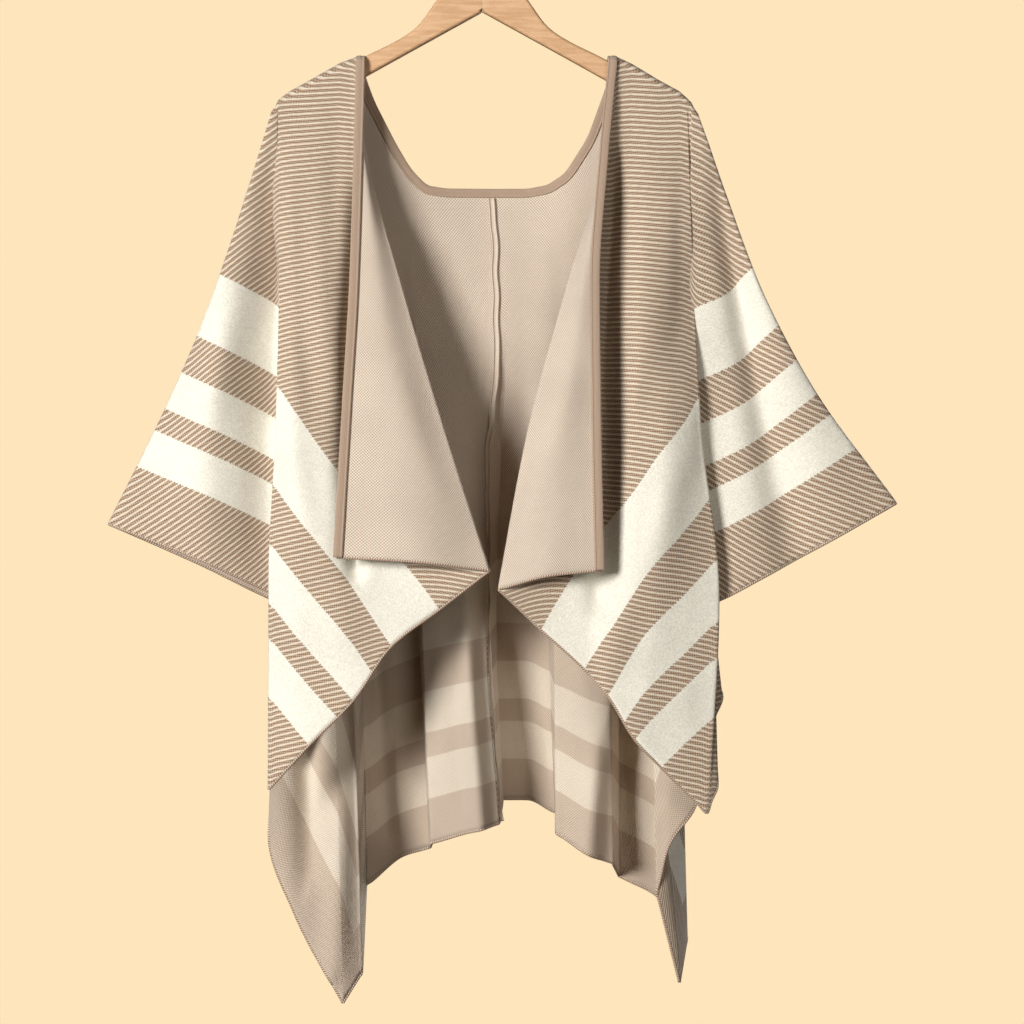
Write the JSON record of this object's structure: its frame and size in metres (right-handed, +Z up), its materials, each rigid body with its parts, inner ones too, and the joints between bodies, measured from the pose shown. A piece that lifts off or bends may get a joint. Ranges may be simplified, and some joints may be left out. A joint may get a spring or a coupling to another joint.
{
  "type": "knitted poncho sweater on a wooden hanger",
  "caption": "Open-front knitted poncho cardigan with banded cape sleeves and turned-back lapels, hanging on a wooden hanger.",
  "frame": {"origin": "the point inside the top of the hook that bears on a rail, in the middle of the hanger's thickness", "axes": "+Z up, -Y out of the garment's front, +X towards the wearer's left sleeve"},
  "size_m": [0.8635, 0.2124, 1.2241],
  "materials": {
    "knit": "matt double-faced jacquard knit, taupe with fine cream ridges and plain cream bands",
    "binding": "matt fine taupe rib",
    "wood": "satin lacquered beech",
    "hook_steel": "bright plated wire"
  },
  "bodies": {
    "root": {"right_front": "knit", "left_front": "knit", "right_back": "knit", "left_back": "knit", "right_front_binding": "binding", "left_front_binding": "binding", "neck_binding": "binding", "back_seam": "knit", "right_hanger_arm": "wood", "left_hanger_arm": "wood", "hanger_hook": "hook_steel"}
  },
  "joints": []
}
